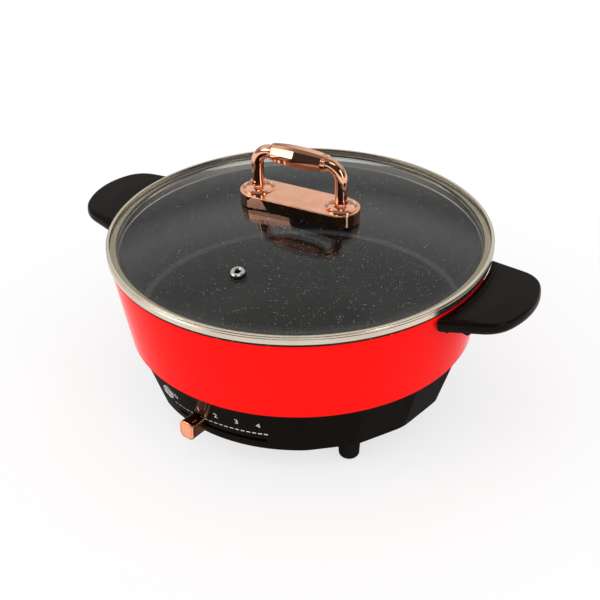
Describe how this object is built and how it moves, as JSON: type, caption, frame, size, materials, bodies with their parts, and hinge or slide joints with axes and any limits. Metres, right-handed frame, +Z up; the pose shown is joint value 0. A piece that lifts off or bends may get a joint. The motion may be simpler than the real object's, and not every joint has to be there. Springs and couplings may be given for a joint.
{
  "type": "electric hot pot",
  "caption": "Round electric hot pot on short feet: faceted base with a sliding temperature lever, flared pan with flat side handles, and a loose domed glass lid with a bail handle.",
  "frame": {"origin": "on the table, under the middle of the pot", "axes": "+Z up; -Y towards the control zone and the user; the side handles lie along X; the power inlet faces +Y"},
  "size_m": [0.422, 0.326, 0.2316],
  "materials": {
    "pan_enamel": "gloss outside, dark non-stick coating inside",
    "ring_steel": "champagne tinted, satin",
    "lid_glass": "clear tempered",
    "vent_rubber": "matte",
    "steel": "satin",
    "copper_plating": "polished rose gold plating",
    "gasket_rubber": "matte",
    "handle_bakelite": "satin black",
    "black_steel": "black coated",
    "base_plastic": "gloss black",
    "cover_plastic": "matte black",
    "badge_metal": "satin, left plain",
    "foot_plastic": "satin black",
    "pad_rubber": "matte",
    "heater_aluminium": "cast",
    "element_steel": "heat-tinted",
    "shield_steel": "plain sheet",
    "ceramic": "unglazed",
    "fuse_metal": "plain",
    "inlet_plastic": "matte black",
    "contact_metal": "nickel plated"
  },
  "bodies": {
    "pot": {"pan": "pan_enamel", "side_handle_left": "handle_bakelite", "side_handle_right": "handle_bakelite", "handle_bracket_left": "black_steel", "handle_bracket_right": "black_steel", "handle_screws": "black_steel", "base_housing": "base_plastic", "base_cover": "cover_plastic", "badge": "badge_metal", "foot_front_left": "foot_plastic", "foot_front_right": "foot_plastic", "foot_back_left": "foot_plastic", "foot_back_right": "foot_plastic", "foot_pads": "pad_rubber", "foot_screws": "steel", "heater_plate": "heater_aluminium", "heating_element": "element_steel", "heat_shield": "shield_steel", "pan_screws": "steel", "thermostat_block": "ceramic", "thermostat_bracket": "steel", "sensor_cap": "heater_aluminium", "thermal_fuse": "fuse_metal", "terminal_block": "ceramic", "power_inlet": "inlet_plastic", "inlet_pins": "contact_metal"},
    "lid": {"lid_ring": "ring_steel", "lid_glass": "lid_glass", "lid_vent_grommet": "vent_rubber", "lid_vent_eyelet": "steel", "lid_handle_plate": "copper_plating", "lid_handle_rosette_left": "copper_plating", "lid_handle_rosette_right": "copper_plating", "lid_handle_bail": "copper_plating", "lid_handle_grip": "copper_plating", "lid_handle_bead_left": "copper_plating", "lid_handle_bead_right": "copper_plating", "lid_handle_bead_right_outer": "copper_plating", "lid_handle_gasket": "gasket_rubber", "lid_handle_washers": "steel", "lid_handle_screws": "steel"},
    "temperature_lever": {"thermostat_spindle": "steel", "lever_spacer": "steel", "lever_arm": "steel", "lever_knob": "copper_plating"}
  },
  "joints": [
    {"name": "lid_lift", "type": "slide", "parent": "pot", "child": "lid", "axis": [0, 0, 1], "range_m": [0, 0.15]},
    {"name": "temperature_slide", "type": "hinge", "parent": "pot", "child": "temperature_lever", "pos_m": [0, 0, 0.035], "axis": [0, 0, 1], "range_deg": [-9, 24]}
  ]
}
